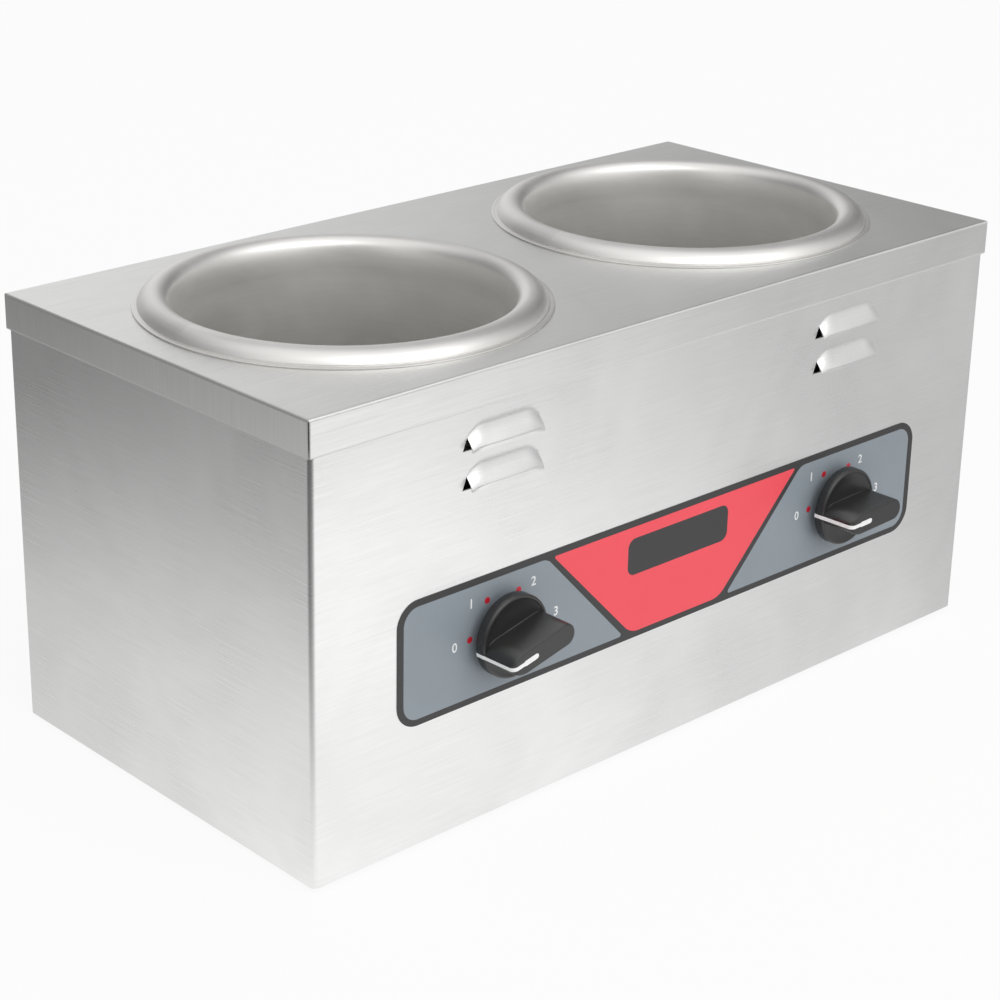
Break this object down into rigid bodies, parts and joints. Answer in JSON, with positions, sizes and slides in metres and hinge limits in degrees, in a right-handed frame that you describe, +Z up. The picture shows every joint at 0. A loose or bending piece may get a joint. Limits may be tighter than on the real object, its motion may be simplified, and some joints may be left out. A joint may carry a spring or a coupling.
{
  "type": "countertop topping warmer",
  "caption": "Box-shaped countertop warmer with round drawn wells for topping insets, a folded sheet body with louvers, and turn knobs on a printed front panel.",
  "frame": {"origin": "on the counter, under the middle of the body's footprint", "axes": "+X to the right seen from the front, along the width; +Y to the back; +Z up"},
  "size_m": [0.4912, 0.2992, 0.2471],
  "materials": {
    "deck_steel": "brushed stainless steel, grain along X",
    "body_steel": "brushed stainless steel, grain along X on the front",
    "inner_steel": "mill finish stainless steel",
    "well_steel": "drawn stainless steel, satin, turned grain",
    "rim_gasket": "silicone rubber sheet",
    "zinc_steel": "zinc plated steel",
    "screw_steel": "nickel plated screws and nuts",
    "heat_aluminium": "cast, machined face",
    "element_sheath": "annealed dark sheath",
    "cutout_ceramic": "dark fired body",
    "insulation_board": "rigid mineral fibre board",
    "overlay_film": "printed polycarbonate film, dark border, red and grey fields",
    "switch_plastic": "moulded switch body",
    "contact_brass": "bright brass",
    "knob_plastic": "black moulded plastic, fine satin",
    "pointer_white": "white inlay",
    "shaft_steel": "plain turned steel",
    "block_plastic": "cream moulded plastic",
    "gland_nylon": "black nylon",
    "lead_red": "high temperature lead insulation, red",
    "lead_black": "high temperature lead insulation, black",
    "foot_rubber": "black rubber"
  },
  "bodies": {
    "housing": {"top_deck": "deck_steel", "wrapper": "body_steel", "rear_panel": "inner_steel", "bottom_pan": "inner_steel", "well_left": "well_steel", "well_right": "well_steel", "rim_gasket_left": "rim_gasket", "rim_gasket_right": "rim_gasket", "clamp_ring_left": "zinc_steel", "clamp_ring_right": "zinc_steel", "clamp_screws": "screw_steel", "heat_plate_left": "heat_aluminium", "heat_plate_right": "heat_aluminium", "outer_element_left": "element_sheath", "outer_element_right": "element_sheath", "inner_element_left": "element_sheath", "inner_element_right": "element_sheath", "element_bar_left": "zinc_steel", "element_bar_right": "zinc_steel", "element_nuts": "screw_steel", "cutout_left": "cutout_ceramic", "cutout_right": "cutout_ceramic", "cutout_screws": "screw_steel", "insulation_left": "insulation_board", "insulation_right": "insulation_board", "heat_shield_left": "zinc_steel", "heat_shield_right": "zinc_steel", "shield_screws": "screw_steel", "control_overlay": "overlay_film", "heat_switch_left": "switch_plastic", "heat_switch_right": "switch_plastic", "switch_tabs": "contact_brass", "switch_nut_left": "screw_steel", "switch_nut_right": "screw_steel", "terminal_block": "block_plastic", "terminal_screws": "contact_brass", "earth_stud": "contact_brass", "cord_gland": "gland_nylon", "gland_nut": "gland_nylon", "heater_leads_left": "lead_red", "heater_leads_right": "lead_red", "supply_leads_left": "lead_black", "supply_leads_right": "lead_black", "foot_front_left": "foot_rubber", "foot_front_right": "foot_rubber", "foot_rear_left": "foot_rubber", "foot_rear_right": "foot_rubber", "foot_screws": "screw_steel", "deck_screws": "screw_steel", "rear_screws": "screw_steel", "bottom_screws": "screw_steel"},
    "knob_left": {"knob_left": "knob_plastic", "pointer_left": "pointer_white", "shaft_left": "shaft_steel", "knob_spring_left": "shaft_steel"},
    "knob_right": {"knob_right": "knob_plastic", "pointer_right": "pointer_white", "shaft_right": "shaft_steel", "knob_spring_right": "shaft_steel"}
  },
  "joints": [
    {"name": "knob_left_turn", "type": "hinge", "parent": "housing", "child": "knob_left", "pos_m": [-0.12555, -0.12075, 0.1015], "axis": [0, 1, 0], "range_deg": [0, 193]},
    {"name": "knob_right_turn", "type": "hinge", "parent": "housing", "child": "knob_right", "pos_m": [0.12555, -0.12075, 0.1015], "axis": [0, 1, 0], "range_deg": [0, 182]}
  ]
}
